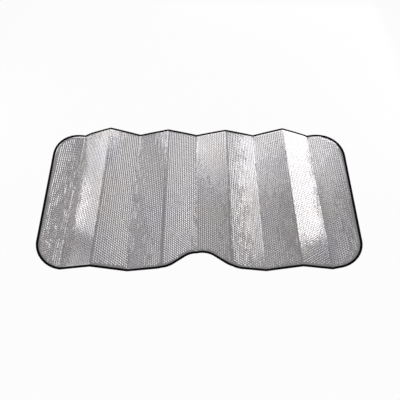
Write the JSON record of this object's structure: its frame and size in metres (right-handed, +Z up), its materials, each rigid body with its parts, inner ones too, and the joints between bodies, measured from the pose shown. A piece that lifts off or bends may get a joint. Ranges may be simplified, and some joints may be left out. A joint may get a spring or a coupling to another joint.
{
  "type": "windscreen sunshade",
  "caption": "Folding foil windscreen sunshade with rounded corners, a mirror notch and a dark sewn binding, lying half unfolded in a zigzag.",
  "frame": {"origin": "on the floor below the middle of the shade, in its half unfolded rest pose", "axes": "+X along the shade's length across its creases, +Y along the creases away from the mirror notch, +Z up from the floor"},
  "size_m": [1.1878, 0.622, 0.0709],
  "materials": {
    "foil": "metallised bubble film, bright and finely crinkled",
    "binding": "matt woven tape"
  },
  "bodies": {
    "root": {"foil_sheet": "foil", "edge_binding": "binding"}
  },
  "joints": []
}
